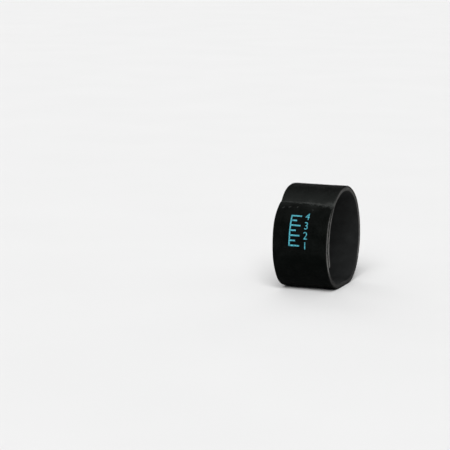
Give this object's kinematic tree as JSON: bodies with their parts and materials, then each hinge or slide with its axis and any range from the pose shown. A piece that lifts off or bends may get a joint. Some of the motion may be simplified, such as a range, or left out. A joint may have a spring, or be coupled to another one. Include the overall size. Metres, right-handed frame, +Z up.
{
  "type": "tennis elbow brace",
  "caption": "Padded wrap-round brace for tennis elbow: a loop-faced foam strip wound into a ring round the forearm and closed on itself by a hook-backed tab at the front.",
  "frame": {"origin": "on the surface that the brace rests on, below the middle of its box", "axes": "+Z up, +X along the forearm towards the elbow, -Y the front with the tab"},
  "size_m": [0.052, 0.1002, 0.0938],
  "materials": {
    "loop_fabric": "black brushed loop knit, fuzzier where the tab is refastened",
    "foam": "dark grey closed-cell foam with a bonded black knit on the arm side",
    "hook_tape": "black woven hook tape"
  },
  "bodies": {
    "root": {"loop_cover": "loop_fabric", "foam_core": "foam", "hook_patch": "hook_tape"}
  },
  "joints": []
}
